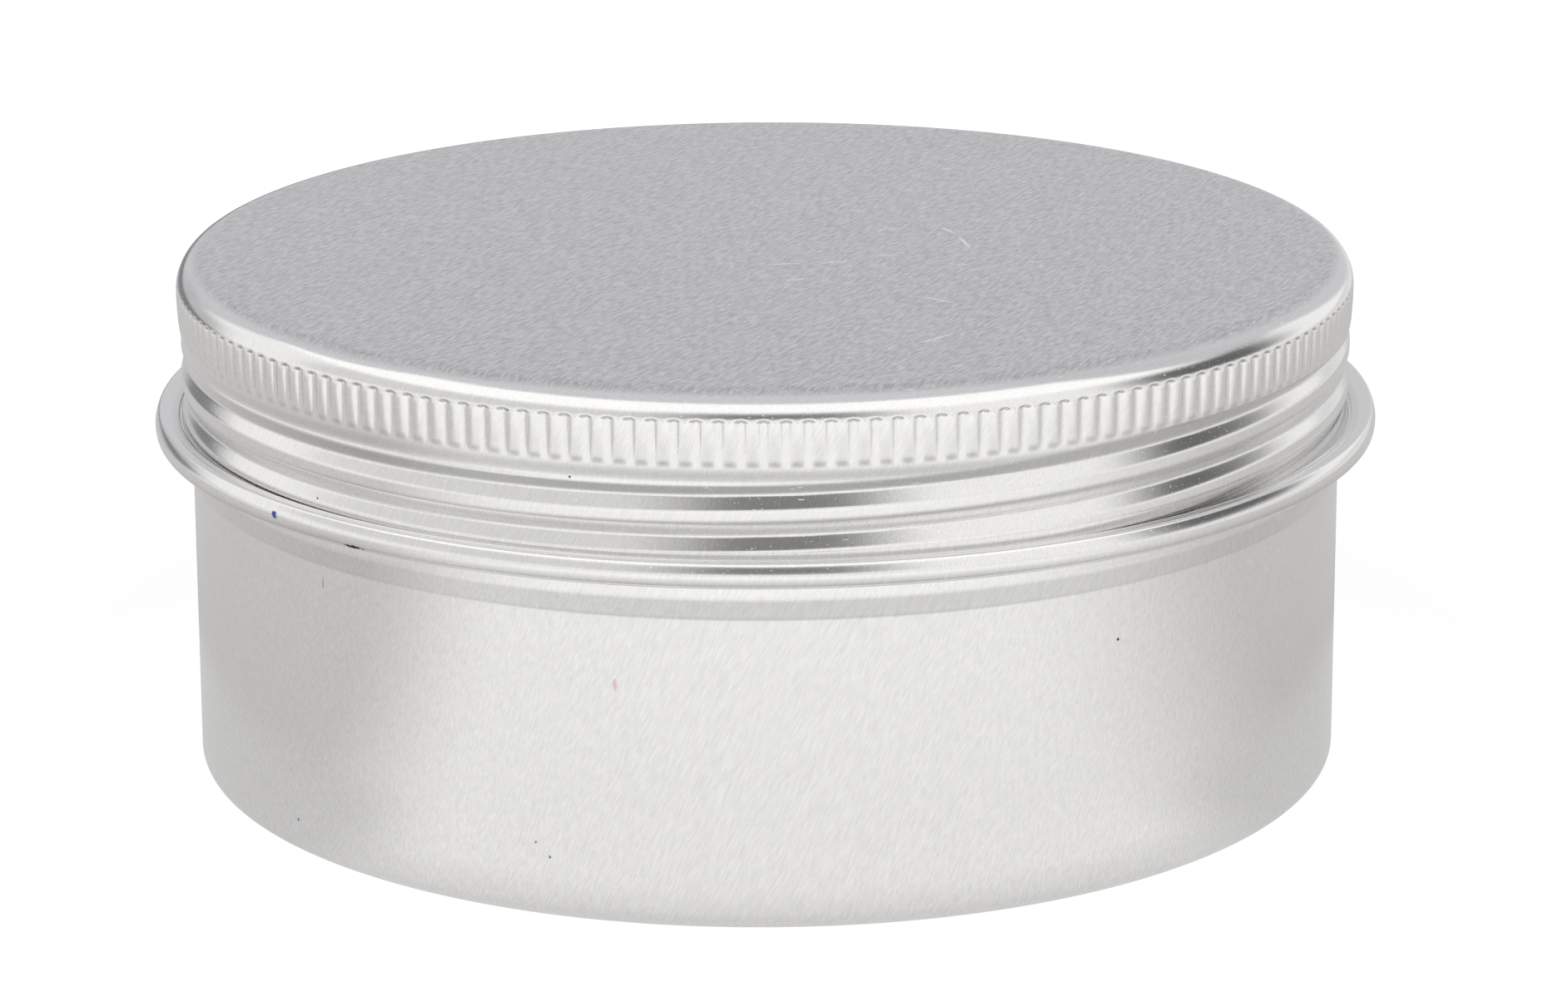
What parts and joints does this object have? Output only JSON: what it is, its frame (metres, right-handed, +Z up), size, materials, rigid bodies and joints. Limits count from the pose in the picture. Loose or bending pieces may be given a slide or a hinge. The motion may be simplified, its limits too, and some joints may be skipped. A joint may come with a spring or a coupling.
{
  "type": "screw-top tin",
  "caption": "Round aluminium tin with a fluted screw lid, a rolled thread and curled edge, and a foam disc that seals on the rim.",
  "frame": {"origin": "middle of the ring that the can stands on, on the tin's axis", "axes": "+Z up along the tin's axis, the way the lid comes off; the view in the picture looks along +Y, with +X to the right"},
  "size_m": [0.087, 0.087, 0.037],
  "materials": {
    "can_aluminium": "bare drawn aluminium with a fine brushed grain and a thin clear lacquer",
    "lid_aluminium": "bare drawn aluminium, the panel covered in short fine scratches",
    "liner_foam": "white closed-cell polyethylene foam, soft and matt"
  },
  "bodies": {
    "base": {"base_can": "can_aluminium"},
    "liner": {"lid_liner": "liner_foam"},
    "lid": {"lid_shell": "lid_aluminium"}
  },
  "joints": [
    {"name": "lid_rise", "type": "slide", "parent": "base", "child": "liner", "axis": [0, 0, 1], "range_m": [0, 0.0165]},
    {"name": "lid_turn", "type": "hinge", "parent": "liner", "child": "lid", "pos_m": [0, 0, 0], "axis": [0, 0, 1], "range_deg": [0, 2160]}
  ],
  "couplings": [
    {"joint": "lid_rise", "follows": "lid_turn", "m_per_rad": 0.00043767}
  ]
}
